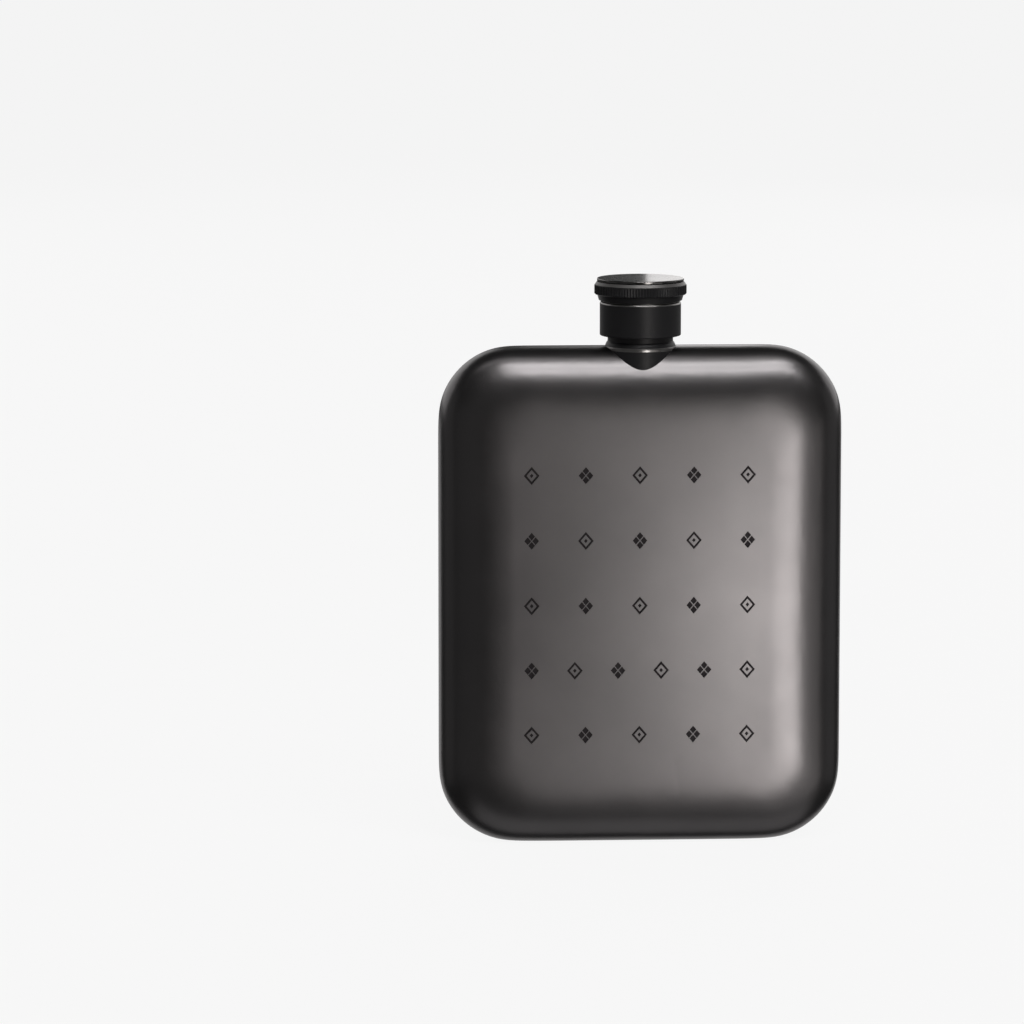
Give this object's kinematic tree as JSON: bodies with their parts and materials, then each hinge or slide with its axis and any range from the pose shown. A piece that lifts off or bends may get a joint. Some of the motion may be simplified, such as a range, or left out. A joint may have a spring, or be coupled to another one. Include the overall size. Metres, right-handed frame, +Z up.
{
  "type": "hip flask",
  "caption": "Slim pillow-shaped hip flask in black stainless steel, with a pressed geometric pattern on its face and a knurled screw cap on a short threaded neck.",
  "frame": {"origin": "centre of the flat foot, where the flask stands upright", "axes": "+Z up along the neck, +X across the width, -Y out of the decorated front face"},
  "size_m": [0.0952, 0.0224, 0.1336],
  "materials": {
    "black_steel": "satin black coating over bead-blasted stainless steel",
    "weld": "ground flush and coated satin black",
    "collar_steel": "turned, semi-gloss black coating",
    "bare_steel": "turned bare stainless steel",
    "cap_steel": "turned, semi-gloss black coating",
    "cap_disc": "polished black coating, faint turning rings",
    "insert_plastic": "moulded black",
    "seal": "food-grade silicone, off-white"
  },
  "bodies": {
    "flask": {"front_shell": "black_steel", "back_shell": "black_steel", "seam_weld": "weld", "neck_collar": "collar_steel", "neck_tube": "bare_steel"},
    "liner": {"cap_gasket": "seal"},
    "cap": {"cap_shell": "cap_steel", "cap_top_disc": "cap_disc", "cap_thread_insert": "insert_plastic"}
  },
  "joints": [
    {"name": "cap_lift", "type": "slide", "parent": "flask", "child": "liner", "axis": [0, 0, 1], "range_m": [0, 0.016]},
    {"name": "cap_turn", "type": "hinge", "parent": "liner", "child": "cap", "pos_m": [0, 0, 0.125], "axis": [0, 0, 1], "range_deg": [0, 2880]}
  ],
  "couplings": [
    {"joint": "cap_lift", "follows": "cap_turn", "m_per_rad": 0.0003183}
  ]
}
